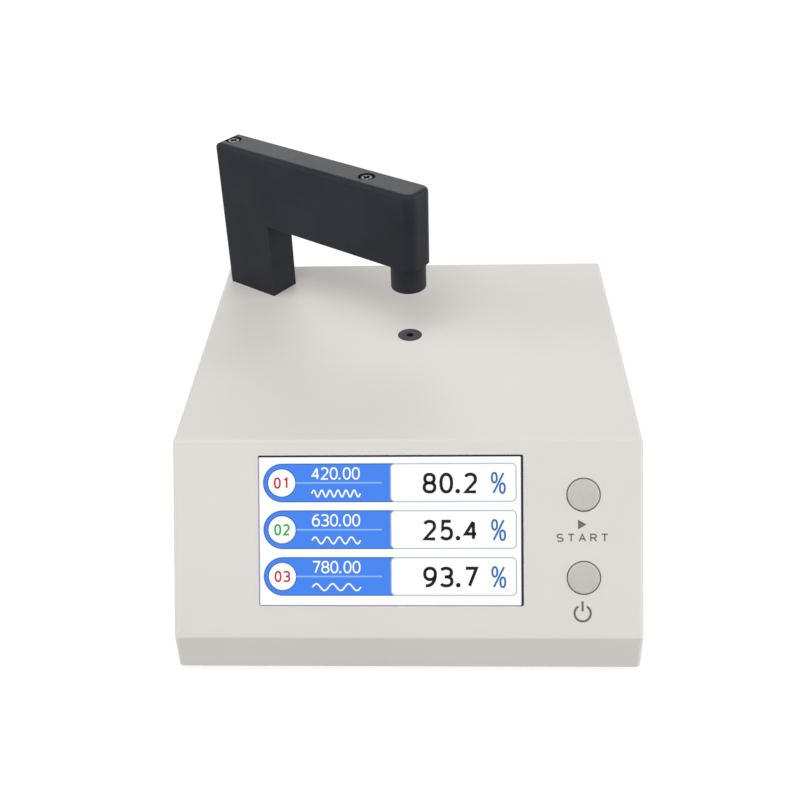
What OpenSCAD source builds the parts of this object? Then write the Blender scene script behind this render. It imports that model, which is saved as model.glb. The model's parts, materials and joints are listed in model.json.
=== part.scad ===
// Bench transmittance meter: a wedge-fronted housing with a display and two push buttons, and an arm
// that holds a light barrel over a measuring aperture in the housing's top.
// Frame: +Z up, the front panel faces -Y, and the origin is the centre of the footprint on the floor.

/* [Housing] */
// Width of the housing
body_w = 170.6; // [158:0.2:200]
// Depth of the housing at its base
body_d = 178; // [168:1:210]
// Height of the housing from the skirt's lower edge to the top
body_h = 75; // [73:0.5:95]
// Height of the upright skirt under the front panel
skirt_h = 14.5; // [12:0.5:16]
// How far the front panel leans back from its foot to its top
slope_run = 39; // [36:0.5:46]
// Wall thickness of the housing
wall = 2.5; // [2.2:0.1:3]
// Radius of the housing's outer edges
edge_r = 1.8; // [1:0.1:2.2]

/* [Base] */
// Thickness of the base plate
base_t = 2; // [1.8:0.1:3]
// Height of the feet below the base plate
foot_h = 3; // [2:0.1:6]
// Diameter of the feet
foot_d = 12; // [8:0.5:14]
// Depth of the feet's seats in the base plate
foot_seat = 0.8; // [0.4:0.1:1]
// Distance of the feet's centres from the housing's sides
foot_inset = 18; // [17:0.5:24]
// Diameter of the bosses that take the base screws
boss_d = 7; // [6.6:0.1:8]
// Distance of the bosses' centres from the housing's sides
boss_inset = 7; // [6.5:0.1:7.5]
// Thread diameter of the base screws
base_screw_d = 3; // [2.5:0.1:3.5]
// Length of the base screws
base_screw_l = 10; // [8:0.5:14]

/* [Display] */
// Width of the display window
window_w = 96.4; // [88:0.1:98]
// Height of the display window
window_h = 55.1; // [46:0.1:56]
// Distance from the panel's top edge to the window
window_top = 5.5; // [5:0.1:6]
// Distance from the window's right side to the buttons' centre line
window_to_buttons = 21.5; // [21.2:0.1:25]
// Corner radius of the window
window_r = 0.8; // [0.4:0.1:2]
// Thickness of the panel in front of the display
window_lip = 1.3; // [1:0.1:1.6]
// Border of the display module beside the window
module_side = 4.6; // [3:0.1:5.2]
// Border of the display module above the window
module_top = 3.7; // [2.5:0.1:4]
// Border of the display module below the window
module_bottom = 8.3; // [5:0.1:9]
// Thickness of the display module
module_t = 2.9; // [2.4:0.1:3.6]
// Width of the display's flat lead
ribbon_w = 20; // [10:1:40]

/* [Buttons] */
// Diameter of the key caps
button_d = 11.6; // [11:0.1:13]
// Distance from the housing's right side to the buttons' centre line
button_side = 21.5; // [20:0.5:22]
// Distance between the two buttons
button_pitch = 30; // [26:0.5:32]
// Distance from the panel's top edge to the upper button
button_top = 20.1; // [18:0.1:22]
// How far the key caps stand out of the panel
button_proud = 0.9; // [0.6:0.1:1.5]
// Rise of the key caps' crown from its rim to its centre
button_crown = 0.35; // [0.2:0.05:0.6]
// Radius of the key caps' rim
button_rim_r = 0.8; // [0.3:0.1:1]
// Travel of the key caps
button_travel = 0.5; // [0.3:0.05:0.6]
// Gap around the key caps
button_gap = 0.4; // [0.2:0.05:0.5]
// Side of the square tactile switches
switch_w = 12; // [10:0.1:12]
// Height of the switch bodies
switch_h = 3.5; // [3.4:0.1:5]
// Side of the switches' square stems
stem_w = 3.8; // [3:0.1:4]

/* [Boards] */
// Thickness of the circuit boards
board_t = 1.6; // [1:0.1:2]
// Width of the control board
main_w = 97; // [85:1:110]
// Depth of the control board
main_d = 72; // [60:1:80]
// Height of the control board's pillars
pillar_h = 8; // [5:0.5:12]
// Diameter of the pillars
pillar_d = 6; // [5:0.5:8]
// Thread diameter of the board screws
board_screw_d = 2.5; // [2:0.1:2.6]
// Diameter of the hole for the power plug in the back wall
inlet_d = 9; // [7:0.1:9]

/* [Arm] */
// Turn of the arm from the housing's width towards the front, in degrees
arm_turn = 35.5; // [30:0.5:42]
// Length from the post's centre to the barrel's axis
arm_reach = 82.8; // [75:0.1:95]
// Thickness of the arm
arm_t = 14.4; // [13.4:0.1:16]
// Height of the arm above the housing's top
arm_h = 65.5; // [60:0.5:80]
// Height of the beam with its cover
beam_h = 32; // [29:0.1:36]
// Length of the post along the arm
post_l = 26.4; // [25:0.1:30]
// Distance of the post's centre from the housing's left side
post_side = 17.7; // [17.6:0.1:20]
// Distance of the post's centre from the housing's back
post_back = 16.3; // [15.4:0.1:18]
// Radius of the upright corners at the arm's nose
nose_r = 4; // [2:0.1:6]
// Radius of the upright corners at the arm's tail
tail_r = 1.2; // [0.5:0.1:3]
// Thickness of the arm's cover
cover_t = 3.4; // [3:0.1:5]
// Radius of the cover's upper edge
cover_edge_r = 2; // [0.5:0.1:2.2]
// Diameter of the cover screws' heads
cover_head_d = 5.6; // [4:0.1:6]
// Diameter of the recesses around these heads
cover_recess_d = 7; // [6.4:0.1:7.4]
// Distance of the first cover screw from the arm's tail
cover_screw_tail = 4.2; // [4:0.1:5]
// Distance of the second cover screw from the barrel's axis
cover_screw_nose = 19.5; // [18:0.1:30]
// Depth of the cable trench in the beam
trench_h = 11; // [9:0.5:14]
// Width of the cable trench
trench_w = 6; // [4:0.1:7]
// Diameter of the lead inside the arm
cable_d = 2.6; // [2:0.1:3]
// Distance of the fixing screws from the post's centre
fixing_reach = 6; // [5.8:0.1:6.4]
// Thread diameter of the fixing screws
fixing_d = 3; // [2.5:0.1:3]

/* [Optics] */
// Diameter of the light barrel
barrel_d = 14.3; // [12.8:0.1:14.6]
// Length of the barrel below the beam
barrel_l = 10.7; // [8:0.1:14]
// Diameter of the barrel's spigot inside the beam
spigot_d = 10.6; // [10:0.1:11]
// Length of the barrel's spigot
spigot_l = 8; // [5:0.5:9]
// Bore of the barrel
barrel_bore = 8.4; // [8.2:0.1:9]
// Diameter of the barrel's lens
lens_d = 11; // [10:0.1:11.5]
// Thickness of the lens at its rim
lens_t = 1.8; // [1.2:0.1:3]
// Thickness of the ring that holds the lens
lens_ring_t = 1; // [0.6:0.1:1.5]
// Diameter of each emitter
led_d = 3; // [2:0.1:3.2]
// Outer diameter of the aperture ring
aperture_d = 10; // [8.5:0.1:14]
// Measuring aperture
aperture_bore = 3; // [1:0.1:5]
// Thickness of the aperture ring
aperture_t = 1.2; // [0.8:0.1:1.4]
// Diameter of the window under the aperture
sensor_window_d = 7; // [6.5:0.1:7.5]
// Height of the sensor holder
holder_h = 15; // [12:0.5:20]
// Diameter of the sensor holder
holder_d = 14; // [12:0.5:16]
// Distance of the holder's screws from the measuring axis
holder_reach = 14; // [13:0.5:18]

/* [Hidden] */
$fn = 48;
// Clearance of parts that seat in a hole or pocket
fit = 0.05;
// Clearance of parts that drop loosely into place
loose = 0.3;
// Overlap of cutters beyond the faces that they cut
over = 1;
// Length that outlasts the whole model
far = 400;
// How far a rounding arc or slab stands outside the faces that it rounds, so that it crosses them cleanly
bite = 0.002;

// Housing datums
top_z = foot_h + body_h;
y_front = -body_d / 2;
y_back = body_d / 2;
y_top = y_front + slope_run;
z_low = foot_h + skirt_h;
slope_rise = body_h - skirt_h;
panel_l = norm([slope_run, slope_rise]);
panel_angle = atan2(slope_rise, slope_run);
inner_w = body_w - 2 * wall;
base_top = foot_h + base_t;

// Each outer face that runs across the width: a point of it and its pitch
ACROSS_FACES = [
    [y_front, foot_h, 90],
    [y_front, z_low, panel_angle],
    [y_back, top_z, 0],
    [y_back, foot_h, -90],
];
// Corners of a rectangle, as signs
CORNERS = [[-1, -1], [1, -1], [-1, 1], [1, 1]];
foot_chamfer = 1;

// Display datums in the panel's frame: x across, y up the panel, z out of it
button_x = body_w / 2 - button_side;
upper_button_y = panel_l - button_top;
lower_button_y = upper_button_y - button_pitch;
window_x = button_x - window_to_buttons - window_w / 2;
window_y = panel_l - window_top - window_h / 2;
module_w = window_w + 2 * module_side;
module_h = window_h + module_top + module_bottom;
module_y = window_y + (module_top - module_bottom) / 2;
display_board_depth = window_lip + module_t;
display_screw_margin = 4;
display_screw_end = 5;
display_board_trim = 0.5;
display_board_h = module_h - 2 * display_board_trim;
display_screw_x = module_w / 2 + display_screw_margin;
display_screw_y = display_board_h / 2 - display_screw_end;
display_board_w = 2 * (display_screw_x + display_screw_margin);
post_boss_d = 5;
pilot_reach = 3;
board_head_d = 2 * board_screw_d;
board_head_h = 1.5;
// Cross recess and bevel of a screw head, as shares of the head's diameter and height
drive_l_share = 0.58;
drive_w_share = 0.2;
drive_floor_share = 0.3;
head_bevel_share = 0.4;

// Display's flat lead: lap on each board, start above the module's foot, and its two bends
ribbon_t = 0.4;
ribbon_lap = 9;
ribbon_start = 8;
ribbon_upper_run = 10;
ribbon_upper_drop = 2;
ribbon_lower_run = 9;
ribbon_lower_rise = 3;
ribbon_edge = 1;

// Button stack, as depths behind the panel's outer face
flange_lip = 1.1;
flange_d = button_d + 2 * flange_lip;
flange_t = 1;
flange_gap = 0.15;
flange_depth = wall + flange_gap;
hub_d = 7;
hub_h = 2.4;
hub_depth = flange_depth + flange_t + hub_h;
hub_gap = 0.5;
socket_inset = 0.6;
socket_depth = flange_depth + socket_inset;
switch_depth = hub_depth + button_travel + hub_gap;
button_board_depth = switch_depth + switch_h;
switch_lid_t = 0.6;
switch_bore = 8.4;
collar_d = 7.6;
collar_t = 1;
stem_gap = 0.2;
stem_hole_d = stem_w * sqrt(2) + 2 * stem_gap;
button_screw_left = 4.5;
button_screw_right = 12.5;
button_screw_end = 11;
button_screw_x = [button_x - button_screw_left, button_x + button_screw_right];
button_screw_y = [lower_button_y - button_screw_end, upper_button_y + button_screw_end];
button_board_margin = 3.5;

// Control board datums
main_side_gap = 1.5;
main_back_gap = 4;
main_left = -body_w / 2 + boss_inset + boss_d / 2 + main_side_gap;
main_back = y_back - wall - main_back_gap;
main_front = main_back - main_d;
main_z = base_top + pillar_h;
main_top = main_z + board_t;
pillar_margin = 4.5;
pillar_left = 21;
pillar_x = [main_left + pillar_left, main_left + main_w - pillar_margin];
pillar_y = [main_front + pillar_margin, main_back - pillar_margin];
ribbon_to_pillar = 25.3;
ribbon_x = pillar_x[1] - ribbon_to_pillar;
jack_w = 9;
jack_h = 11;
jack_l = 13;
jack_x = 0;
jack_rise = 6.5;
jack_axis_z = main_top + jack_rise;
jack_bore_d = 5.6;
jack_bore_l = 9;
jack_pin_d = 2;
jack_pin_sink = 0.5;
connector_w = 8;
connector_d = 6;
connector_h = 6;
// Processor, converter and driver: place from the board's front left corner, then size
CHIPS = [
    [[40, 34], [14, 14, 1.4]],
    [[66, 30], [10, 8, 3]],
    [[62, 52], [8, 6, 1.8]],
];

// Arm datums: the arm's frame has x along the arm, and its origin at the post's centre on the top
post_x = -body_w / 2 + post_side;
post_y = y_back - post_back;
head_x = post_x + arm_reach * cos(arm_turn);
head_y = post_y - arm_reach * sin(arm_turn);
arm_tail = -post_l / 2;
arm_nose = arm_reach + arm_t / 2;
beam_z = arm_h - beam_h;
cover_z = arm_h - cover_t;
trench_z = cover_z - trench_h;
cable_z = trench_z + cable_d / 2 + loose;
cable_gap = 1;
cable_hole_d = cable_d + 2 * cable_gap;
cable_bend = 4;
led_seat_z = beam_z + spigot_l;
led_board_t = 1;
led_board_d = spigot_d;
cover_screw_x = [arm_tail + cover_screw_tail, arm_reach - cover_screw_nose];
cover_screw_d = 2.5;
cover_screw_l = 6;
cover_head_h = 1.6;
cover_head_sink = 0.3;
// Turn between two sections of the cover's rounded edge, in degrees
cover_edge_step = 15;
bridge_l = 8;
backing_t = 3;
backing_w = 10;
backing_margin = 3.5;
fixing_bite = 10;
fixing_head_d = 1.8 * fixing_d;
fixing_head_h = 2;
barrel_chamfer = 0.4;
lens_recess = 0.2;
led_count = 3;
led_shank = 1.8;
lens_seat_z = beam_z - barrel_l + lens_recess + lens_ring_t + lens_t;
holder_ear_drop = 6;
holder_ear_t = 3;
sensor_board_t = 1;
sensor_board_w = 16;
sensor_board_d = 12;
holder_ear_w = 8;
holder_bore = 6;
photodiode_d = 5;
photodiode_h = 2;

// Side profile of the housing in (y, z), moved inwards by an inset, from the front foot to the back foot
function body_profile(inset, z_bottom) = [
    [y_front + inset, z_bottom],
    [y_front + inset, z_low - inset * tan(45 - panel_angle / 2)],
    [y_top + inset * tan(panel_angle / 2), top_z - inset],
    [y_back - inset, top_z - inset],
    [y_back - inset, z_bottom],
];
function unit(v) = v / norm(v);
// Point of the side profile's plane at a height up the panel and a depth behind it
function panel_point(up, depth) = [
    y_front + up * cos(panel_angle) + depth * sin(panel_angle),
    z_low + up * sin(panel_angle) - depth * cos(panel_angle),
];
// Left side of a path, moved out by a thickness with mitred corners
function left_normal(a, b) = let (d = unit(b - a)) [-d[1], d[0]];
function left_offset(path, t) = [
    for (i = [0:len(path) - 1])
        let (n1 = left_normal(path[max(i - 1, 0)], path[max(i, 1)]))
        let (n2 = left_normal(path[min(i, len(path) - 2)], path[min(i + 1, len(path) - 1)]))
        path[i] + t * (n1 + n2) / (1 + n1 * n2)
];

// Cutter between a corner and the arc that rounds it; the directions leave the corner along its sides.
// It reaches outside the corner, and its arc crosses the sides by a bite.
module corner_sliver(corner, side_a, side_b, r) {
    half = acos(side_a * side_b) / 2;
    centre = corner + (r - bite) / sin(half) * unit(side_a + side_b);
    leg = (r - bite) / tan(half);
    out_a = unit(corner + leg * side_a - centre);
    out_b = unit(corner + leg * side_b - centre);
    difference() {
        polygon([
            centre, centre + (r + over) * out_a,
            corner + over * (out_a + out_b) / (1 + out_a * out_b), centre + (r + over) * out_b,
        ]);
        translate(centre) circle(r);
    }
}

// Rectangle centred on the origin with rounded corners
module rounded_rect(w, d, r) {
    difference() {
        square([w, d], center = true);
        for (c = CORNERS) {
            corner_sliver([c[0] * w / 2, c[1] * d / 2], [-c[0], 0], [0, -c[1]], r);
        }
    }
}

// Frames
module along_width() {
    rotate([90, 0, 90]) children();
}
module on_panel() {
    translate([0, y_front, z_low]) rotate([panel_angle, 0, 0]) children();
}
module on_arm() {
    translate([post_x, post_y, top_z]) rotate([0, 0, -arm_turn]) children();
}
module on_head() {
    translate([head_x, head_y, top_z]) rotate([0, 0, -arm_turn]) children();
}
module at_corners(inset) {
    for (c = CORNERS) {
        translate([c[0] * (body_w / 2 - inset), c[1] * (body_d / 2 - inset), 0]) children();
    }
}
module at_display_screws() {
    on_panel() for (c = CORNERS) {
        translate([window_x + c[0] * display_screw_x, module_y + c[1] * display_screw_y, 0]) children();
    }
}
module at_button_screws() {
    on_panel() for (x = button_screw_x, y = button_screw_y) translate([x, y, 0]) children();
}
module at_buttons() {
    on_panel() for (y = [upper_button_y, lower_button_y]) translate([button_x, y, 0]) children();
}
module at_pillars() {
    for (x = pillar_x, y = pillar_y) translate([x, y, 0]) children();
}
module at_holder_screws() {
    on_head() for (s = [-1, 1]) translate([s * holder_reach, 0, -wall]) children();
}

// Pan-head screw with its seat at z = 0 and its shank downwards
module screw(d, l, head_d, head_h) {
    r = head_d / 2;
    bevel = head_h * head_bevel_share;
    translate([0, 0, -l]) cylinder(d = d, h = l);
    difference() {
        rotate_extrude() polygon([[0, 0], [r, 0], [r, head_h - bevel], [r - bevel, head_h], [0, head_h]]);
        translate([0, 0, head_h * drive_floor_share]) linear_extrude(head_h)
            for (turn = [0, 90]) rotate(turn)
                square([head_d * drive_l_share, head_d * drive_w_share], center = true);
    }
}
// Small screw that goes through a board or an ear from behind, seat at z = 0 and shank upwards
module board_screw_up(l) {
    mirror([0, 0, 1]) screw(board_screw_d, l, board_head_d, board_head_h);
}

// Housing
module housing_outline() {
    corners = body_profile(0, foot_h);
    difference() {
        polygon(corners);
        for (i = [1:len(corners) - 2]) {
            before = unit(corners[i - 1] - corners[i]);
            after = unit(corners[i + 1] - corners[i]);
            corner_sliver(corners[i], before, after, edge_r);
        }
    }
}
// Endless slab behind one outer face, with its two side edges rounded
module face_slab(face) {
    side = body_w / 2 + bite;
    translate([0, face[0], face[1]]) rotate([face[2] + 90, 0, 0])
        linear_extrude(far, center = true) difference() {
            translate([-side, -far]) square([2 * side, far + bite]);
            for (s = [-1, 1]) corner_sliver([s * side, bite], [-s, 0], [0, -1], edge_r);
        }
}
module housing_block() {
    intersection() {
        along_width() linear_extrude(body_w, center = true) housing_outline();
        intersection_for (face = ACROSS_FACES) face_slab(face);
    }
}
module panel_boss(depth) {
    translate([0, 0, -depth]) cylinder(d = post_boss_d, h = depth - window_lip);
}
// Room behind the panel for the display's board and the heads of its screws
module display_room() {
    depth = display_board_depth + board_t + board_head_h + loose;
    on_panel() translate([window_x, module_y, -depth]) linear_extrude(depth - display_board_depth + loose)
        square([display_board_w + 2 * loose, display_board_h + 2 * loose], center = true);
}
// Bosses for the base screws, clear of the display's board
module base_bosses() {
    difference() {
        at_corners(boss_inset) translate([0, 0, base_top]) cylinder(d = boss_d, h = body_h);
        display_room();
    }
}
// Room inside the shell, less the bosses that grow from its walls
module housing_room() {
    difference() {
        along_width() linear_extrude(inner_w, center = true)
            polygon(body_profile(wall, foot_h - over));
        base_bosses();
        at_display_screws() panel_boss(display_board_depth);
        at_button_screws() panel_boss(button_board_depth);
        at_holder_screws() translate([0, 0, -holder_ear_drop])
            cylinder(d = post_boss_d, h = holder_ear_drop + wall / 2);
    }
}
module housing_shell() {
    color("#dedad6") difference() {
        housing_block();
        housing_room();
        at_corners(boss_inset) cylinder(d = base_screw_d + 2 * fit, h = base_top + base_screw_l);
        on_panel() {
            translate([window_x, window_y, -wall - over]) linear_extrude(wall + 2 * over)
                rounded_rect(window_w, window_h, window_r);
            translate([window_x, module_y, -wall - over]) linear_extrude(wall + over - window_lip)
                square([module_w + 2 * loose, module_h + 2 * loose], center = true);
        }
        at_buttons() translate([0, 0, -wall - over])
            cylinder(d = button_d + 2 * button_gap, h = wall + 2 * over);
        at_display_screws() translate([0, 0, -display_board_depth - over])
            cylinder(d = board_screw_d + 2 * fit, h = pilot_reach + over);
        at_button_screws() translate([0, 0, -button_board_depth - over])
            cylinder(d = board_screw_d + 2 * fit, h = 2 * pilot_reach + over);
        at_holder_screws() translate([0, 0, -holder_ear_drop - over])
            cylinder(d = board_screw_d + 2 * fit, h = holder_ear_drop + over);
        on_head() {
            translate([0, 0, -aperture_t]) cylinder(d = aperture_d + 2 * fit, h = aperture_t + over);
            translate([0, 0, -wall - over]) cylinder(d = sensor_window_d + 2 * fit, h = wall + over);
        }
        on_arm() translate([0, 0, -wall - over]) {
            cylinder(d = cable_hole_d, h = wall + 2 * over);
            for (s = [-1, 1]) translate([s * fixing_reach, 0, 0])
                cylinder(d = fixing_d + 4 * fit, h = wall + 2 * over);
        }
        jack_rod(y_back + over, inlet_d, wall + 2 * over);
    }
}

// Base
module base_screw_shape(gap) {
    cylinder(d1 = 2 * base_screw_d + 2 * gap, d2 = base_screw_d + 2 * gap, h = base_screw_d / 2);
    cylinder(d = base_screw_d + 2 * gap, h = base_t + base_screw_l);
}
module base_plate() {
    color("#b9bbbd") difference() {
        translate([0, 0, foot_h]) linear_extrude(base_t)
            rounded_rect(inner_w - 2 * loose, body_d - 2 * wall - 2 * loose, edge_r);
        at_corners(boss_inset) translate([0, 0, foot_h]) base_screw_shape(2 * fit);
        at_corners(foot_inset) translate([0, 0, foot_h - over])
            cylinder(d = foot_d + 2 * fit, h = foot_seat + over);
    }
}
module rubber_feet() {
    color("#2b2b2d") at_corners(foot_inset) {
        rotate_extrude() polygon([
            [0, 0], [foot_d / 2 - foot_chamfer, 0], [foot_d / 2, foot_chamfer],
            [foot_d / 2, foot_h + foot_seat], [0, foot_h + foot_seat],
        ]);
    }
}
module base_screws() {
    color("#8f9194") at_corners(boss_inset) translate([0, 0, foot_h]) base_screw_shape(0);
}

// Display
module display_panel() {
    color("#11203f") on_panel() translate([window_x, module_y, -window_lip - module_t])
        linear_extrude(module_t) rounded_rect(module_w, module_h, window_r);
}
module display_board() {
    color("#1d5c3a") difference() {
        on_panel() translate([window_x, module_y, -display_board_depth - board_t])
            linear_extrude(board_t) square([display_board_w, display_board_h], center = true);
        at_display_screws() translate([0, 0, -display_board_depth - board_t - over])
            cylinder(d = board_screw_d + 4 * fit, h = board_t + 2 * over);
    }
}
module display_screws() {
    color("#8f9194") at_display_screws() translate([0, 0, -display_board_depth - board_t])
        board_screw_up(board_t + pilot_reach - loose);
}
module display_ribbon() {
    back = display_board_depth + board_t + fit;
    start = module_y - module_h / 2 + ribbon_start;
    upper_end = panel_point(start, back);
    lower_end = [main_front + ribbon_edge, main_top + fit];
    path = [
        panel_point(start + ribbon_lap, back),
        upper_end,
        upper_end + [ribbon_upper_run, -ribbon_upper_drop],
        lower_end + [-ribbon_lower_run, ribbon_lower_rise],
        lower_end,
        lower_end + [ribbon_lap, 0],
    ];
    edge = left_offset(path, ribbon_t);
    color("#c9b27a") translate([ribbon_x, 0, 0]) along_width() linear_extrude(ribbon_w, center = true)
        polygon(concat(path, [for (i = [len(edge) - 1:-1:0]) edge[i]]));
}

// Buttons
// Half section of a key cap's top: a crowned disc with a rounded rim
module cap_section() {
    r = button_d / 2;
    crown_r = (r * r + button_crown * button_crown) / (2 * button_crown);
    slope = asin(r / crown_r);
    difference() {
        intersection() {
            translate([0, -flange_depth]) square([r, flange_depth + button_proud]);
            translate([0, button_proud - crown_r]) circle(crown_r);
        }
        corner_sliver([r, button_proud - button_crown], [-cos(slope), sin(slope)], [0, -1], button_rim_r);
    }
}
module key_cap() {
    difference() {
        union() {
            rotate_extrude() cap_section();
            translate([0, 0, -flange_depth - flange_t]) cylinder(d = flange_d, h = flange_t);
            translate([0, 0, -hub_depth]) cylinder(d = hub_d, h = hub_depth - flange_depth - flange_t);
        }
        translate([0, 0, -hub_depth - over]) linear_extrude(hub_depth + over - socket_depth)
            square(stem_w + 2 * fit, center = true);
    }
}
module plunger() {
    collar_depth = switch_depth + switch_lid_t + 2 * fit;
    translate([0, 0, -collar_depth]) linear_extrude(collar_depth - socket_depth)
        square(stem_w, center = true);
    translate([0, 0, -collar_depth - collar_t]) cylinder(d = collar_d, h = collar_t);
}
module operation_button() {
    color("#c3c0bd") on_panel() translate([button_x, upper_button_y, 0]) key_cap();
}
module power_button() {
    color("#c3c0bd") on_panel() translate([button_x, lower_button_y, 0]) key_cap();
}
module operation_plunger() {
    color("#1f1f21") on_panel() translate([button_x, upper_button_y, 0]) plunger();
}
module power_plunger() {
    color("#1f1f21") on_panel() translate([button_x, lower_button_y, 0]) plunger();
}
module switch_bodies() {
    color("#303134") at_buttons() difference() {
        translate([0, 0, -button_board_depth]) linear_extrude(switch_h) square(switch_w, center = true);
        translate([0, 0, -button_board_depth + switch_lid_t])
            cylinder(d = switch_bore, h = switch_h - 2 * switch_lid_t);
        translate([0, 0, -switch_depth - switch_lid_t - over])
            cylinder(d = stem_hole_d, h = switch_lid_t + 2 * over);
    }
}
module button_board() {
    margin = button_board_margin;
    w = button_screw_x[1] - button_screw_x[0] + 2 * margin;
    h = button_screw_y[1] - button_screw_y[0] + 2 * margin;
    corner = [button_screw_x[0] - margin, button_screw_y[0] - margin, -button_board_depth - board_t];
    color("#1d5c3a") difference() {
        on_panel() translate(corner) cube([w, h, board_t]);
        at_button_screws() translate([0, 0, -button_board_depth - board_t - over])
            cylinder(d = board_screw_d + 4 * fit, h = board_t + 2 * over);
    }
}
module button_board_screws() {
    color("#8f9194") at_button_screws() translate([0, 0, -button_board_depth - board_t])
        board_screw_up(board_t + 2 * pilot_reach - loose);
}

// Control board
module main_board() {
    color("#1d5c3a") difference() {
        translate([main_left, main_front, main_z]) cube([main_w, main_d, board_t]);
        at_pillars() translate([0, 0, main_z - over])
            cylinder(d = board_screw_d + 4 * fit, h = board_t + 2 * over);
    }
}
module board_standoffs() {
    color("#c8b37a") at_pillars() translate([0, 0, base_top]) difference() {
        cylinder(d = pillar_d, h = pillar_h);
        translate([0, 0, base_t]) cylinder(d = board_screw_d + 2 * fit, h = pillar_h);
    }
}
module board_screws() {
    color("#8f9194") at_pillars() translate([0, 0, main_top])
        screw(board_screw_d, board_t + pilot_reach, board_head_d, board_head_h);
}
module board_chips() {
    color("#26272a") translate([main_left, main_front, main_top]) {
        for (chip = CHIPS) translate(chip[0]) cube(chip[1]);
    }
}
// Rod on the inlet's axis, from a place behind the housing inwards
module jack_rod(y, d, l) {
    translate([jack_x, y, jack_axis_z]) rotate([90, 0, 0]) cylinder(d = d, h = l);
}
module power_jack() {
    color("#232427") {
        difference() {
            translate([jack_x - jack_w / 2, y_back - wall - jack_l, main_top]) cube([jack_w, jack_l, jack_h]);
            jack_rod(y_back - wall + over, jack_bore_d, jack_bore_l + over);
        }
        jack_rod(y_back - wall - jack_pin_sink, jack_pin_d, jack_bore_l);
    }
}
module cable_connector() {
    corner = [post_x - connector_w / 2, post_y - connector_d / 2, main_top];
    color("#e6e2d4") translate(corner) cube([connector_w, connector_d, connector_h]);
}

// Arm
module arm_outline() {
    half = arm_t / 2;
    difference() {
        translate([arm_tail, -half]) square([arm_nose - arm_tail, arm_t]);
        for (s = [-1, 1]) {
            corner_sliver([arm_tail, s * half], [1, 0], [0, -s], tail_r);
            corner_sliver([arm_nose, s * half], [-1, 0], [0, -s], nose_r);
        }
    }
}
module arm_body() {
    bridge_start = cover_screw_x[1] - bridge_l / 2;
    bridge_end = cover_screw_x[1] + bridge_l / 2;
    color("#303136") on_arm() difference() {
        linear_extrude(cover_z) arm_outline();
        // Space under the beam
        translate([post_l / 2, -arm_t, -over]) cube([far, 2 * arm_t, beam_z + over]);
        // Cable way: trench on both sides of the second screw, tunnel between them, hole down the post
        translate([-cable_hole_d / 2, -trench_w / 2, trench_z])
            cube([bridge_start + cable_hole_d / 2, trench_w, trench_h + over]);
        translate([bridge_end, -trench_w / 2, trench_z])
            cube([arm_reach - bridge_end, trench_w, trench_h + over]);
        translate([0, 0, cable_z]) rotate([0, 90, 0]) cylinder(d = cable_d + 4 * loose, h = arm_reach);
        translate([0, 0, -over]) cylinder(d = cable_hole_d, h = trench_z + 2 * over);
        // Head: spigot bore below, board pocket above
        translate([arm_reach, 0, beam_z - over]) cylinder(d = spigot_d + 2 * fit, h = spigot_l + 2 * over);
        translate([arm_reach, 0, led_seat_z]) cylinder(d = led_board_d + 2 * loose, h = far);
        // Screw holes
        for (s = [-1, 1]) translate([s * fixing_reach, 0, -over])
            cylinder(d = fixing_d + 2 * fit, h = fixing_bite + over);
        for (x = cover_screw_x) translate([x, 0, cover_z - cover_screw_l])
            cylinder(d = cover_screw_d + 2 * fit, h = far);
    }
}
module arm_cover() {
    seat = cover_head_h + cover_head_sink;
    color("#303136") on_arm() translate([0, 0, cover_z]) difference() {
        hull() for (turn = [0:cover_edge_step:90]) {
            linear_extrude(cover_t - cover_edge_r * (1 - sin(turn)))
                offset(delta = -cover_edge_r * (1 - cos(turn))) arm_outline();
        }
        for (x = cover_screw_x) translate([x, 0, -over]) {
            cylinder(d = cover_screw_d + 8 * fit, h = cover_t + 2 * over);
            translate([0, 0, cover_t - seat + over]) cylinder(d = cover_recess_d, h = seat + over);
        }
    }
}
module arm_cover_screws() {
    seat_z = arm_h - cover_head_h - cover_head_sink;
    color("#6d7074") on_arm() for (x = cover_screw_x) translate([x, 0, seat_z])
        screw(cover_screw_d, seat_z - cover_z + cover_screw_l - loose, cover_head_d, cover_head_h);
}
module arm_backing_plate() {
    color("#9a9c9f") on_arm() translate([0, 0, -wall - backing_t]) linear_extrude(backing_t) difference() {
        square([2 * (fixing_reach + backing_margin), backing_w], center = true);
        circle(d = cable_hole_d);
        for (s = [-1, 1]) translate([s * fixing_reach, 0]) circle(d = fixing_d + 4 * fit);
    }
}
module arm_fixing_screws() {
    color("#8f9194") on_arm() for (s = [-1, 1])
        translate([s * fixing_reach, 0, -wall - backing_t]) mirror([0, 0, 1])
            screw(fixing_d, wall + backing_t + fixing_bite - loose, fixing_head_d, fixing_head_h);
}
module cable_elbow() {
    rotate([90, 0, 0]) rotate_extrude(angle = 90) translate([cable_bend, 0]) circle(d = cable_d);
}
module arm_cable() {
    led_top = led_seat_z + led_board_t;
    bend_z = cable_z - cable_bend;
    plug_z = main_top + connector_h - top_z;
    color("#3c3d41") on_arm() {
        translate([0, 0, plug_z]) cylinder(d = cable_d, h = bend_z - plug_z);
        translate([cable_bend, 0, bend_z]) rotate([0, 0, 180]) mirror([0, 1, 0]) cable_elbow();
        translate([cable_bend, 0, cable_z]) rotate([0, 90, 0])
            cylinder(d = cable_d, h = arm_reach - 2 * cable_bend);
        translate([arm_reach - cable_bend, 0, bend_z]) cable_elbow();
        translate([arm_reach, 0, led_top]) cylinder(d = cable_d, h = bend_z - led_top);
    }
}

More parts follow.
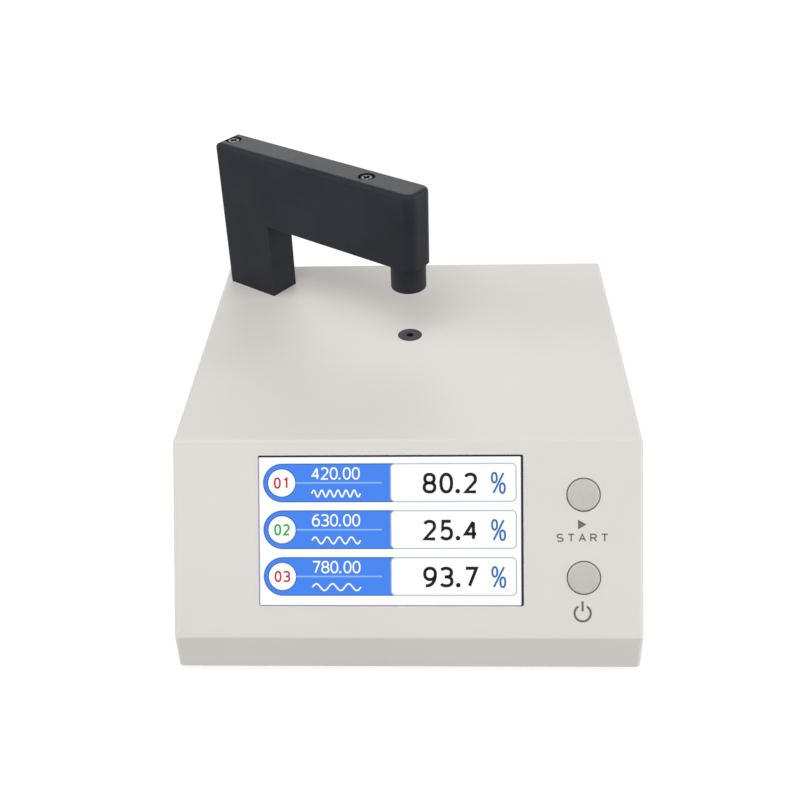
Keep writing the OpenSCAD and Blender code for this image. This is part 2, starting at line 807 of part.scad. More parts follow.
// Optics above the sample
module light_barrel() {
    mouth_z = beam_z - barrel_l;
    color("#36373c") on_head() rotate_extrude() polygon([
        [barrel_bore / 2, lens_seat_z], [lens_d / 2 + fit, lens_seat_z], [lens_d / 2 + fit, mouth_z],
        [barrel_d / 2 - barrel_chamfer, mouth_z], [barrel_d / 2, mouth_z + barrel_chamfer],
        [barrel_d / 2, beam_z],
        [spigot_d / 2, beam_z], [spigot_d / 2, led_seat_z], [barrel_bore / 2, led_seat_z],
    ]);
}
module barrel_lens() {
    color("#cfe3ee") on_head() translate([0, 0, lens_seat_z - lens_t]) cylinder(d = lens_d, h = lens_t);
}
module lens_ring() {
    color("#222326") on_head() translate([0, 0, lens_seat_z - lens_t - lens_ring_t])
        linear_extrude(lens_ring_t) difference() {
            circle(d = lens_d);
            circle(d = barrel_bore);
        }
}
module led_board() {
    color("#1d5c3a") on_head() translate([0, 0, led_seat_z]) cylinder(d = led_board_d, h = led_board_t);
}
module emitter_leds() {
    ring_r = barrel_bore / 2 - led_d / 2 - loose;
    color("#d8dde3") on_head() for (i = [1:led_count]) {
        rotate([0, 0, i * 360 / led_count]) translate([ring_r, 0, led_seat_z - led_shank]) {
            cylinder(d = led_d, h = led_shank);
            difference() {
                sphere(d = led_d);
                cylinder(d = 2 * led_d, h = led_d);
            }
        }
    }
}

// Aperture and sensor below the sample
module aperture_ring() {
    color("#26272a") on_head() translate([0, 0, -aperture_t]) linear_extrude(aperture_t) difference() {
        circle(d = aperture_d);
        circle(d = aperture_bore);
    }
}
module aperture_window() {
    color("#cfe3ee") on_head() translate([0, 0, -wall])
        cylinder(d = sensor_window_d, h = wall - aperture_t);
}
module sensor_holder() {
    color("#26272a") on_head() translate([0, 0, -wall]) difference() {
        union() {
            translate([0, 0, -holder_h]) cylinder(d = holder_d, h = holder_h);
            translate([0, 0, -holder_ear_drop - holder_ear_t]) linear_extrude(holder_ear_t)
                square([2 * holder_reach + holder_ear_w, holder_ear_w], center = true);
        }
        translate([0, 0, -holder_h - over]) cylinder(d = holder_bore, h = holder_h + 2 * over);
        for (s = [-1, 1]) translate([s * holder_reach, 0, -holder_ear_drop - holder_ear_t - over])
            cylinder(d = board_screw_d + 4 * fit, h = holder_ear_t + 2 * over);
    }
}
module sensor_holder_screws() {
    color("#8f9194") at_holder_screws() translate([0, 0, -holder_ear_drop - holder_ear_t])
        board_screw_up(holder_ear_t + holder_ear_drop - loose);
}
module sensor_board() {
    color("#1d5c3a") on_head() translate([0, 0, -wall - holder_h - sensor_board_t])
        linear_extrude(sensor_board_t) square([sensor_board_w, sensor_board_d], center = true);
}
module photodiode() {
    color("#3a3136") on_head() translate([0, 0, -wall - holder_h])
        cylinder(d = photodiode_d, h = photodiode_h);
}

housing_shell();
base_plate();
rubber_feet();
base_screws();
display_panel();
display_board();
display_screws();
display_ribbon();
button_board();
button_board_screws();
switch_bodies();
operation_button();
operation_plunger();
power_button();
power_plunger();
main_board();
board_standoffs();
board_screws();
board_chips();
power_jack();
cable_connector();
arm_body();
arm_cover();
arm_cover_screws();
arm_backing_plate();
arm_fixing_screws();
arm_cable();
light_barrel();
barrel_lens();
lens_ring();
led_board();
emitter_leds();
aperture_ring();
aperture_window();
sensor_holder();
sensor_holder_screws();
sensor_board();
photodiode();
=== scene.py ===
import json
import math
from collections import namedtuple

import bmesh
import bpy
from mathutils import Matrix, Vector


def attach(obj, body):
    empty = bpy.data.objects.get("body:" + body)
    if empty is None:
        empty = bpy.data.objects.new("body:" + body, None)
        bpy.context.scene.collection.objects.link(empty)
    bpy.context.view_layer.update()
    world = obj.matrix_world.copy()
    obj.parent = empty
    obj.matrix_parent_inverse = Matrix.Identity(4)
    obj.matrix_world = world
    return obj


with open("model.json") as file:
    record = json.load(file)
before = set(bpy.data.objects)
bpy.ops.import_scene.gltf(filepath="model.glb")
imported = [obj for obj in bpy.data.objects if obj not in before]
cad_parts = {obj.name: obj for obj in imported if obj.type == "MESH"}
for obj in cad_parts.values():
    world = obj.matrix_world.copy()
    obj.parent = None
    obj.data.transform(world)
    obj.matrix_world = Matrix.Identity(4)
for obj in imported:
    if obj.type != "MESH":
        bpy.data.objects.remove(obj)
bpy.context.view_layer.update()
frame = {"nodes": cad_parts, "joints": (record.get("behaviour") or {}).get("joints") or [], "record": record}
nodes = frame["nodes"]
scene = bpy.context.scene

# One millimetre, in the frame's metres
MM = 0.001

# Camera: place in the object's frame, angles in degrees, lens and sensor in millimetres, and the nearest
# distance that it sees in metres
CAMERA_PLACE = Vector((14.3, -386.99, 320.38)) * MM
CAMERA_PITCH = 33.71
CAMERA_YAW = -2.715
CAMERA_ROLL = -1.849
CAMERA_LENS = 51.659
CAMERA_SENSOR = 36.0
CAMERA_CLIP = 0.01

# Distance from the display module's outline to the window that shows
MODULE_SIDE = 4.6 * MM
MODULE_TOP = 3.7 * MM
MODULE_BOTTOM = 8.3 * MM

# Dark border between the window and the lit area, and the pale one at its left and foot
BORDER_TOP = 0.8 * MM
BORDER_RIGHT = 0.9 * MM
BORDER_LEFT = 0.45 * MM
BORDER_BOTTOM = 0.4 * MM

# Picture dots of the display: pitch, gap as a share of the pitch, light in the gap, and glass that is not lit
DOT_PITCH = 0.198 * MM
DOT_GAP = 0.06
DOT_GAP_LIGHT = 0.94
DARK_GLASS = (0.004, 0.004, 0.005, 1.0)

# Readout rows: number and ink of the badge, label, periods of the wave under it, and reading
Row = namedtuple("Row", "badge ink label periods value")
ROWS = (
    Row("01", "red", "420.00", 6, "80.2"),
    Row("02", "green", "630.00", 4, "25.4"),
    Row("03", "red", "780.00", 3, "93.7"),
)

# Places and sizes in the rows, from the window's centre: blue pill with a round left end, badge on it, box
# of the reading, rule across the pill, label over the rule, wave under it, reading and percent sign
ROW_PITCH = 17.07 * MM
ROW_H = 14.15 * MM
ROWS_UP = 0.34 * MM
PILL_LEFT = -46.4 * MM
PILL_RIGHT = 2.0 * MM
PILL_EDGE = 0.4 * MM
BADGE_X = -39.55 * MM
BADGE_R = 4.95 * MM
BOX_LEFT = 0.0 * MM
BOX_RIGHT = 45.8 * MM
BOX_CORNER = 1.8 * MM
BOX_EDGE = 0.42 * MM
RULE_LEFT = -34.6 * MM
RULE_RIGHT = -3.1 * MM
RULE_T = 0.55 * MM
LABEL_LEFT = -28.6 * MM
LABEL_GAP = 1.15 * MM
WAVE_RIGHT = -10.9 * MM
WAVE_DROP = 3.9 * MM
WAVE_H = 3.0 * MM
WAVE_STROKE = 0.55 * MM
WAVE_STEPS = 16
VALUE_LEFT = 11.8 * MM
VALUE_DROP = 0.2 * MM
PERCENT_LEFT = 36.5 * MM
LIT_CORNER = 0.2 * MM

# Thickness of a drawn layer, and the layers' order from the display's face outwards
LAYER = 0.02 * MM
BORDER_LAYER, LIT_LAYER, PILL_EDGE_LAYER, PILL_LAYER, DETAIL_LAYER, BOX_LAYER, INK_LAYER = range(1, 8)

# Lettering: height and width of a sign, step from one sign to the next, and width of the strokes
Lettering = namedtuple("Lettering", "height width step stroke")
LABEL_STYLE = Lettering(4.55 * MM, 2.95 * MM, 3.3 * MM, 0.57 * MM)
BADGE_STYLE = Lettering(4.2 * MM, 2.6 * MM, 3.2 * MM, 0.68 * MM)
VALUE_STYLE = Lettering(7.55 * MM, 5.0 * MM, 6.08 * MM, 1.16 * MM)
PERCENT_STYLE = Lettering(8.0 * MM, 5.4 * MM, 5.4 * MM, 0.74 * MM)
START_STYLE = Lettering(3.0 * MM, 2.7 * MM, 4.0 * MM, 0.5 * MM)
# Decimal point: its diameter in strokes, and its place and step as shares of a digit's step
POINT_D = 1.45
POINT_SHIFT = 0.09
POINT_STEP = 0.45
# Bows of the letters: squareness, where 2 is an ellipse, and points of a full turn
BOW_POWER = 2.3
BOW_STEPS = 32
# Lowest divisor at a stroke's corner, which keeps sharp corners short
MITRE_LIMIT = 0.4
# Share of a stroke's width within which the two ends of a line are one point
SAME_POINT = 0.01

# Print on the panel, from the centres of the keys
PRINT_T = 0.02 * MM
PRINT_SHIFT = -0.5 * MM
START_SIGN_DROP = 10.7 * MM
START_SIGN_H = 3.5 * MM
START_SIGN_W = 3.1 * MM
START_WORD_DROP = 15.5 * MM
POWER_SIGN_DROP = 12.8 * MM
POWER_SIGN_D = 6.6 * MM
POWER_SIGN_STROKE = 0.8 * MM
POWER_SIGN_OPENING = 31.0
POWER_BAR_TOP = 4.35 * MM
POWER_BAR_BOTTOM = 0.75 * MM

# Points of a full turn in drawn arcs
ARC_STEPS = 48

# Shading: edges that turn by less than this many degrees are smooth
SMOOTH_ANGLE = 38.0
# Limits between which most of a noise lies, and narrower ones for colours
NOISE_LOW = 0.3
NOISE_HIGH = 0.7
TINT_LOW = 0.35
TINT_HIGH = 0.65
# Wear along edges, which on the housing and the arm is also a painted edge highlight: cosine between the face
# and its rounded edge where the lighter edge starts and where it is full, least share between the broken-up
# patches, and samples of the rounded edge
WEAR_AND_SHEEN_START = 0.995
WEAR_AND_SHEEN_FULL = 0.86
WEAR_AND_SHEEN_LEAST = 0.1
WEAR_AND_SHEEN_SAMPLES = 4
# Stretch of a noise that is the same along all axes
EVEN = (1.0, 1.0, 1.0)

# Floor: size, share of light that it bounces, share of light that it shows, and its own brightness near the
# object, which grows to full white between two distances
FLOOR_SIZE = 6.0
FLOOR_BOUNCE = 0.6
FLOOR_SHADE = 0.22
FLOOR_GLOW = 0.84
FLOOR_FADE_START = 0.4
FLOOR_FADE_END = 1.2

# Light: that of the surroundings, and the lamps with the share of full white that each gives a white card
WORLD_LIGHT = 0.16
LAMP_TARGET = Vector((0.0, 0.0, 0.07))
Softbox = namedtuple("Softbox", "name direction distance size level")
SOFTBOXES = (
    Softbox("key_softbox", (-0.14, -0.44, 0.887), distance=1.5, size=0.7, level=0.18),
    Softbox("front_softbox", (0.0, -0.5, 0.866), distance=1.6, size=2.0, level=0.5),
    Softbox("low_softbox", (0.0, -0.95, 0.3), distance=1.4, size=1.2, level=0.11),
    Softbox("right_softbox", (0.97, -0.05, 0.22), distance=1.4, size=1.0, level=0.6),
    Softbox("left_softbox", (-0.78, -0.2, 0.6), distance=1.4, size=1.0, level=0.2),
    Softbox("left_low_softbox", (-0.97, -0.05, 0.22), distance=1.4, size=1.0, level=0.2),
    Softbox("back_softbox", (0.0, 0.9, 0.43), distance=1.4, size=0.8, level=0.2),
)

# Axes of the leaning panel, from the line that the upper key travels on
press = next(joint for joint in frame["joints"] if joint["name"] == "operation_press")
panel_out = -Vector(press["axis"]).normalized()
panel_right = Vector((1.0, 0.0, 0.0))
panel_up = panel_out.cross(panel_right)
panel_axes = Matrix((panel_right, panel_up, panel_out)).transposed()


def panel_extent(node):
    """Lowest and highest place of a CAD node along the panel's axes."""
    points = [panel_axes.transposed() @ vertex.co for vertex in nodes[node].data.vertices]
    low = Vector(min(point[i] for point in points) for i in range(3))
    high = Vector(max(point[i] for point in points) for i in range(3))
    return low, high


# Colours
def srgb(red, green, blue):
    """Colour given as it looks on a screen, 0 to 255, as the renderer's linear values."""
    shares = [value / 255 for value in (red, green, blue)]
    linear = [s / 12.92 if s <= 0.04045 else ((s + 0.055) / 1.055) ** 2.4 for s in shares]
    return (*linear, 1.0)


def grey(value):
    """Neutral colour of one linear brightness."""
    return (value, value, value, 1.0)


# Node helpers
def new_material(name):
    made = bpy.data.materials.new(name)
    made.use_nodes = True
    return made, made.node_tree, made.node_tree.nodes["Principled BSDF"]


def noise(tree, scale, detail=3.0, stretch=EVEN):
    """Noise over the object's own coordinates, scale in features per metre."""
    place = tree.nodes.new("ShaderNodeTexCoord")
    mapping = tree.nodes.new("ShaderNodeMapping")
    mapping.inputs["Scale"].default_value = stretch
    texture = tree.nodes.new("ShaderNodeTexNoise")
    texture.inputs["Scale"].default_value = scale
    texture.inputs["Detail"].default_value = detail
    tree.links.new(place.outputs["Object"], mapping.inputs["Vector"])
    tree.links.new(mapping.outputs["Vector"], texture.inputs["Vector"])
    return texture.outputs["Fac"]


def ramp(tree, factor, stops):
    """Colour ramp through (place, colour) stops."""
    node = tree.nodes.new("ShaderNodeValToRGB")
    points = node.color_ramp.elements
    while len(points) < len(stops):
        points.new(1.0)
    for point, (place, colour) in zip(points, stops):
        point.position = place
        point.color = colour
    tree.links.new(factor, node.inputs["Fac"])
    return node.outputs["Color"]


def map_range(tree, value, from_low, from_high, to_low=0.0, to_high=1.0):
    """Number that runs between two limits while another runs between its own, held at the ends."""
    node = tree.nodes.new("ShaderNodeMapRange")
    node.inputs["From Min"].default_value = from_low
    node.inputs["From Max"].default_value = from_high
    node.inputs["To Min"].default_value = to_low
    node.inputs["To Max"].default_value = to_high
    tree.links.new(value, node.inputs["Value"])
    return node.outputs["Result"]


def combine(tree, operation, first, second):
    """Number made from two others."""
    node = tree.nodes.new("ShaderNodeMath")
    node.operation = operation
    tree.links.new(first, node.inputs[0])
    tree.links.new(second, node.inputs[1])
    return node.outputs[0]


def tinted(tree, shader, scale, dark, light, stretch=EVEN):
    """Base colour that wanders between two close colours."""
    drift = noise(tree, scale, detail=2.0, stretch=stretch)
    colours = ramp(tree, drift, [(TINT_LOW, dark), (TINT_HIGH, light)])
    tree.links.new(colours, shader.inputs["Base Color"])


def rough(tree, shader, scale, low, high, stretch=EVEN):
    """Roughness that wanders between two limits."""
    drift = noise(tree, scale, stretch=stretch)
    tree.links.new(map_range(tree, drift, NOISE_LOW, NOISE_HIGH, low, high), shader.inputs["Roughness"])


def add_bump(tree, shader, height, depth, strength):
    node = tree.nodes.new("ShaderNodeBump")
    node.inputs["Strength"].default_value = strength
    node.inputs["Distance"].default_value = depth
    tree.links.new(height, node.inputs["Height"])
    tree.links.new(node.outputs["Normal"], shader.inputs["Normal"])


def edge_mask(tree, radius, break_up):
    """1 along sharp edges and 0 elsewhere, broken up by a noise."""
    rounded = tree.nodes.new("ShaderNodeBevel")
    rounded.samples = WEAR_AND_SHEEN_SAMPLES
    rounded.inputs["Radius"].default_value = radius
    flat = tree.nodes.new("ShaderNodeNewGeometry")
    turn = tree.nodes.new("ShaderNodeVectorMath")
    turn.operation = "DOT_PRODUCT"
    tree.links.new(rounded.outputs["Normal"], turn.inputs[0])
    tree.links.new(flat.outputs["Normal"], turn.inputs[1])
    edge = map_range(tree, turn.outputs["Value"], WEAR_AND_SHEEN_START, WEAR_AND_SHEEN_FULL)
    patches = map_range(tree, noise(tree, break_up, detail=4.0), NOISE_LOW, NOISE_HIGH, WEAR_AND_SHEEN_LEAST, 1.0)
    return combine(tree, "MULTIPLY", edge, patches)


def wear_and_edge_sheen(tree, shader, mask, colour):
    """Lighter colour laid over the base colour where the mask says: worn edges, and on some materials a
    painted edge highlight.
    """
    base = shader.inputs["Base Color"].links[0].from_socket
    mixed = tree.nodes.new("ShaderNodeMix")
    mixed.data_type = "RGBA"
    mixed.inputs["B"].default_value = colour
    tree.links.new(mask, mixed.inputs["Factor"])
    tree.links.new(base, mixed.inputs["A"])
    tree.links.new(mixed.outputs["Result"], shader.inputs["Base Color"])


# Materials of the record's slots
def housing_material():
    made, tree, shader = new_material("housing_satin_plastic")
    tinted(tree, shader, scale=14.0, dark=srgb(222, 218, 213), light=srgb(225, 221, 217))
    # Lighter edges: a little wear, and a painted highlight along the edges that stands in for their shine
    wear_and_edge_sheen(tree, shader, edge_mask(tree, radius=0.5 * MM, break_up=120.0), colour=srgb(232, 229, 225))
    rough(tree, shader, scale=900.0, low=0.48, high=0.6)
    shader.inputs["Specular IOR Level"].default_value = 0.3
    add_bump(tree, shader, noise(tree, scale=2200.0, detail=2.0), depth=0.012 * MM, strength=0.5)
    return made


def metal_material(name, dark, light, low, high, stretch=EVEN):
    """Bare metal between two colours and two roughnesses, with a grain along the stretch."""
    made, tree, shader = new_material(name)
    tinted(tree, shader, scale=260.0, dark=dark, light=light, stretch=stretch)
    rough(tree, shader, scale=1500.0, low=low, high=high, stretch=stretch)
    shader.inputs["Metallic"].default_value = 1.0
    add_bump(tree, shader, noise(tree, scale=2600.0, stretch=stretch), depth=0.006 * MM, strength=0.5)
    return made


def base_metal_material():
    dark, light = srgb(176, 178, 180), srgb(190, 192, 194)
    return metal_material("base_sheet", dark, light, low=0.32, high=0.46, stretch=(0.012, 1.0, 1.0))


def screw_material():
    return metal_material("screw_steel", srgb(150, 152, 156), srgb(176, 178, 182), low=0.24, high=0.36)


def black_screw_material():
    made = metal_material("screw_black_oxide", srgb(46, 46, 49), srgb(60, 60, 63), low=0.26, high=0.4)
    tree = made.node_tree
    mask = edge_mask(tree, radius=0.15 * MM, break_up=500.0)
    wear_and_edge_sheen(tree, tree.nodes["Principled BSDF"], mask, colour=srgb(168, 169, 172))
    return made


def brass_material():
    return metal_material("pillar_brass", srgb(196, 168, 104), srgb(212, 186, 122), low=0.26, high=0.36)


def moulded_material(name, dark, light, low, high, specular=0.4):
    """Plastic or rubber between two colours and two roughnesses, with a fine moulded grain."""
    made, tree, shader = new_material(name)
    tinted(tree, shader, scale=300.0, dark=dark, light=light)
    rough(tree, shader, scale=1200.0, low=low, high=high)
    shader.inputs["Specular IOR Level"].default_value = specular
    add_bump(tree, shader, noise(tree, scale=3200.0, detail=2.0), depth=0.008 * MM, strength=0.4)
    return made


def rubber_material():
    dark, light = srgb(34, 34, 35), srgb(44, 44, 45)
    return moulded_material("feet_rubber", dark, light, low=0.72, high=0.88, specular=0.25)


def black_plastic_material():
    return moulded_material("black_plastic", srgb(30, 30, 32), srgb(40, 40, 43), low=0.42, high=0.56)


def white_plastic_material():
    return moulded_material("connector_plastic", srgb(222, 217, 203), srgb(232, 228, 215), low=0.4, high=0.5)


def cable_material():
    return moulded_material("cable_jacket", srgb(38, 38, 41), srgb(48, 48, 51), low=0.5, high=0.64)


def key_cap_material():
    return moulded_material("key_cap_plastic", srgb(194, 191, 187), srgb(198, 195, 191), low=0.4, high=0.52)


def print_material():
    dark, light = srgb(100, 97, 93), srgb(110, 107, 103)
    return moulded_material("panel_print", dark, light, low=0.5, high=0.6, specular=0.3)


def resin_material():
    made, tree, shader = new_material("led_resin")
    tinted(tree, shader, scale=500.0, dark=srgb(214, 220, 226), light=srgb(228, 232, 236))
    rough(tree, shader, scale=900.0, low=0.08, high=0.16)
    shader.inputs["Transmission Weight"].default_value = 0.6
    return made


def glass_material():
    made, tree, shader = new_material("optical_glass")
    tinted(tree, shader, scale=200.0, dark=srgb(224, 236, 242), light=srgb(232, 241, 246))
    rough(tree, shader, scale=800.0, low=0.02, high=0.05)
    shader.inputs["Transmission Weight"].default_value = 1.0
    shader.inputs["IOR"].default_value = 1.5
    return made


def ribbon_material():
    made, tree, shader = new_material("ribbon_film")
    lines = noise(tree, scale=900.0, detail=0.0, stretch=(1.0, 0.01, 0.01))
    colours = ramp(tree, lines, [(0.45, srgb(186, 140, 66)), (0.55, srgb(206, 168, 96))])
    tree.links.new(colours, shader.inputs["Base Color"])
    rough(tree, shader, scale=700.0, low=0.25, high=0.35)
    return made


def board_material():
    made, tree, shader = new_material("circuit_board")
    place = tree.nodes.new("ShaderNodeTexCoord")
    tracks = tree.nodes.new("ShaderNodeTexBrick")
    tracks.inputs["Scale"].default_value = 160.0
    tracks.inputs["Mortar Size"].default_value = 0.05
    tracks.inputs["Color1"].default_value = srgb(22, 84, 48)
    tracks.inputs["Color2"].default_value = srgb(26, 92, 54)
    tracks.inputs["Mortar"].default_value = srgb(38, 112, 66)
    tree.links.new(place.outputs["Object"], tracks.inputs["Vector"])
    tree.links.new(tracks.outputs["Color"], shader.inputs["Base Color"])
    rough(tree, shader, scale=500.0, low=0.24, high=0.36)
    add_bump(tree, shader, tracks.outputs["Fac"], depth=0.02 * MM, strength=0.4)
    return made


def anodised_material():
    made, tree, shader = new_material("black_anodised")
    tinted(tree, shader, scale=40.0, dark=srgb(40, 41, 47), light=srgb(45, 46, 52))
    # Lighter edges: worn anodising, and a painted highlight along the edges and at the nose's corner that
    # stands in for lamp reflections
    wear_and_edge_sheen(tree, shader, edge_mask(tree, radius=0.15 * MM, break_up=260.0), colour=srgb(66, 67, 72))
    rough(tree, shader, scale=1800.0, low=0.36, high=0.46)
    shader.inputs["Specular IOR Level"].default_value = 0.08
    add_bump(tree, shader, noise(tree, scale=5200.0, detail=2.0), depth=0.006 * MM, strength=0.45)
    return made


def display_material():
    made, tree, shader = new_material("display_border")
    tinted(tree, shader, scale=400.0, dark=srgb(30, 32, 62), light=srgb(36, 38, 70))
    rough(tree, shader, scale=900.0, low=0.3, high=0.4)
    shader.inputs["Specular IOR Level"].default_value = 0.25
    return made


SLOT_MATERIALS = {
    "housing": housing_material(),
    "base_metal": base_metal_material(),
    "rubber": rubber_material(),
    "screw_steel": screw_material(),
    "screw_black": black_screw_material(),
    "display": display_material(),
    "circuit_board": board_material(),
    "ribbon": ribbon_material(),
    "black_plastic": black_plastic_material(),
    "key_cap": key_cap_material(),
    "standoff_brass": brass_material(),
    "white_plastic": white_plastic_material(),
    "black_aluminium": anodised_material(),
    "cable_jacket": cable_material(),
    "optical_glass": glass_material(),
    "led_resin": resin_material(),
}


# Finish of the CAD nodes
def make_smooth_group():
    """Geometry nodes that shade smooth, with edges sharper than an angle kept crisp."""
    group = bpy.data.node_groups.new("smooth_below_angle", "GeometryNodeTree")
    group.interface.new_socket("Geometry", in_out="INPUT", socket_type="NodeSocketGeometry")
    group.interface.new_socket("Geometry", in_out="OUTPUT", socket_type="NodeSocketGeometry")
    start = group.nodes.new("NodeGroupInput")
    end = group.nodes.new("NodeGroupOutput")
    angle = group.nodes.new("GeometryNodeInputMeshEdgeAngle")
    small = group.nodes.new("FunctionNodeCompare")
    small.operation = "LESS_THAN"
    small.inputs["B"].default_value = math.radians(SMOOTH_ANGLE)
    faces = group.nodes.new("GeometryNodeSetShadeSmooth")
    faces.domain = "FACE"
    edges = group.nodes.new("GeometryNodeSetShadeSmooth")
    edges.domain = "EDGE"
    group.links.new(angle.outputs["Unsigned Angle"], small.inputs["A"])
    group.links.new(small.outputs["Result"], edges.inputs["Shade Smooth"])
    group.links.new(start.outputs[0], faces.inputs["Geometry"])
    group.links.new(faces.outputs["Geometry"], edges.inputs["Geometry"])
    group.links.new(edges.outputs["Geometry"], end.inputs[0])
    return group


def shade(piece, group):
    """Smooth shading with flat faces kept flat."""
    smooth = piece.modifiers.new("smooth", "NODES")
    smooth.node_group = group
    weighted = piece.modifiers.new("weighted_normals", "WEIGHTED_NORMAL")
    weighted.keep_sharp = True


def dress_nodes():
    group = make_smooth_group()
    for part in frame["record"]["subparts"]:
        piece = nodes[part["node"]]
        piece.data.materials.clear()
        piece.data.materials.append(SLOT_MATERIALS[part["material_slot"]])
        shade(piece, group)


dress_nodes()


# Flat drawn shapes, as thin closed prisms
def arc(centre, radius, start, end):
    """Points of an arc between two angles in degrees."""
    steps = max(2, round(abs(end - start) / 360 * ARC_STEPS))
    turns = [math.radians(start + (end - start) * i / steps) for i in range(steps + 1)]
    return [(centre[0] + radius * math.cos(t), centre[1] + radius * math.sin(t)) for t in turns]


def disc(centre, radius):
    """Outline of a round disc."""
    return arc(centre, radius, 0, 360)[:-1]


def rounded_box(left, bottom, right, top, left_r, right_r):
    """Outline of a box with one radius at its left corners and another at its right ones."""
    return [
        *arc((left + left_r, bottom + left_r), left_r, 180, 270),
        *arc((right - right_r, bottom + right_r), right_r, 270, 360),
        *arc((right - right_r, top - right_r), right_r, 0, 90),
        *arc((left + left_r, top - left_r), left_r, 90, 180),
    ]


def add_prism(mesh, outline, low, high):
    below = [mesh.verts.new((x, y, low)) for x, y in outline]
    above = [mesh.verts.new((x, y, high)) for x, y in outline]
    mesh.faces.new(list(reversed(below)))
    mesh.faces.new(above)
    for i in range(len(outline)):
        mesh.faces.new((below[i - 1], below[i], above[i], above[i - 1]))


def add_band(mesh, line, stroke, low, high):
    """Flat strip of one width along a line of points, closed where the line ends at its start."""
    points = [Vector(point) for point in line]
    closed = (points[0] - points[-1]).length < SAME_POINT * stroke
    if closed:
        points.pop()
    last = len(points) - 1
    sections = []
    for i, point in enumerate(points):
        into = point - points[i - 1] if closed or i > 0 else points[i + 1] - point
        out = points[(i + 1) % len(points)] - point if closed or i < last else into
        normals = [Vector((-way.y, way.x)).normalized() for way in (into, out)]
        reach = (normals[0] + normals[1]) / max(1 + normals[0].dot(normals[1]), MITRE_LIMIT) * stroke / 2
        corners = ((point - reach, low), (point + reach, low), (point + reach, high), (point - reach, high))
        sections.append([mesh.verts.new((place.x, place.y, z)) for place, z in corners])
    for i in range(0 if closed else 1, len(sections)):
        before, after = sections[i - 1], sections[i]
        for j in range(4):
            mesh.faces.new((before[j - 1], before[j], after[j], after[j - 1]))
    if not closed:
        mesh.faces.new(sections[0])
        mesh.faces.new(list(reversed(sections[-1])))


def wave(left, right, middle, height, periods):
    """Points of a sine line."""
    steps = WAVE_STEPS * periods
    places = []
    for i in range(steps + 1):
        turn = 2 * math.pi * periods * i / steps
        places.append((left + (right - left) * i / steps, middle + height / 2 * math.sin(turn)))
    return places


def bow(x, y, wide, tall, start, end):
    """Points of an oval arc between two angles in degrees, a little squarer than an ellipse."""
    steps = max(2, round(abs(end - start) / 360 * BOW_STEPS))
    turns = [math.radians(start + (end - start) * i / steps) for i in range(steps + 1)]

    def swing(value):
        return math.copysign(abs(value) ** (2 / BOW_POWER), value)

    return [(x + wide * swing(math.cos(t)), y + tall * swing(math.sin(t))) for t in turns]


def turned(strokes):
    """The same strokes, half a turn round."""
    return [[(1 - x, 1 - y) for x, y in stroke] for stroke in strokes]


# Signs as strokes in a box from (0, 0) to (1, 1)
SIX = [bow(0.5, 0.32, 0.5, 0.32, 0, 360), bow(0.86, 0.32, 0.86, 0.68, 180, 88)]
SIGNS = {
    "0": [bow(0.5, 0.5, 0.5, 0.5, 0, 360)],
    "1": [[(0.16, 0.8), (0.62, 0.97), (0.62, 0.0)]],
    "2": [[*bow(0.47, 0.72, 0.48, 0.28, 155, -30), (0.04, 0.0), (1.0, 0.0)]],
    "3": [
        [*bow(0.44, 0.755, 0.5, 0.245, 150, -90), (0.3, 0.51)],
        [(0.3, 0.51), *bow(0.44, 0.255, 0.54, 0.255, 90, -150)],
    ],
    "4": [[(0.74, 0.0), (0.74, 0.95)], [(0.72, 0.97), (0.0, 0.28), (1.0, 0.28)]],
    "5": [[(0.9, 1.0), (0.17, 1.0), (0.11, 0.52), *bow(0.46, 0.31, 0.5, 0.31, 110, -150)]],
    "6": SIX,
    "7": [[(0.0, 1.0), (1.0, 1.0), (0.34, 0.0)]],
    "8": [bow(0.5, 0.755, 0.44, 0.245, 0, 360), bow(0.5, 0.26, 0.5, 0.26, 0, 360)],
    "9": turned(SIX),
    "%": [
        bow(0.19, 0.76, 0.19, 0.24, 0, 360), bow(0.81, 0.24, 0.19, 0.24, 0, 360),
        [(0.9, 1.0), (0.12, 0.0)],
    ],
    "A": [[(0.0, 0.0), (0.5, 1.0), (1.0, 0.0)], [(0.17, 0.34), (0.83, 0.34)]],
    "R": [
        [(0.06, 0.0), (0.06, 1.0), *bow(0.5, 0.74, 0.44, 0.26, 90, -90), (0.06, 0.48)],
        [(0.5, 0.48), (1.0, 0.0)],
    ],
    "S": [[*bow(0.5, 0.74, 0.44, 0.26, 30, 270), *bow(0.5, 0.24, 0.48, 0.24, 90, -150)]],
    "T": [[(0.0, 1.0), (1.0, 1.0)], [(0.5, 1.0), (0.5, 0.0)]],
}


def add_words(mesh, words, left, bottom, style, low, high):
    """Words in one lettering style, from the left end of their base line."""
    wide = style.width - style.stroke
    tall = style.height - style.stroke
    pen = left
    for sign in words:
        if sign == ".":
            point_r = POINT_D * style.stroke / 2
            add_prism(mesh, disc((pen + POINT_SHIFT * style.step, bottom + point_r), point_r), low, high)
            pen += POINT_STEP * style.step
            continue
        start = Vector((pen + style.stroke / 2, bottom + style.stroke / 2))
        for stroke in SIGNS[sign]:
            line = [start + Vector((x * wide, y * tall)) for x, y in stroke]
            add_band(mesh, line, style.stroke, low, high)
        pen += style.step


def words_width(words, style):
    steps = sum(POINT_STEP if sign == "." else 1 for sign in words[:-1])
    return steps * style.step + style.width


def panel_piece(name, mesh, origin, material):
    """A piece drawn in the panel's axes, fixed to the housing."""
    data = bpy.data.meshes.new(name)
    bmesh.ops.recalc_face_normals(mesh, faces=mesh.faces)
    mesh.to_mesh(data)
    mesh.free()
    data.materials.append(material)
    piece = bpy.data.objects.new(name, data)
    piece.matrix_world = Matrix.Translation(panel_axes @ origin) @ panel_axes.to_4x4()
    scene.collection.objects.link(piece)
    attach(piece, "housing")


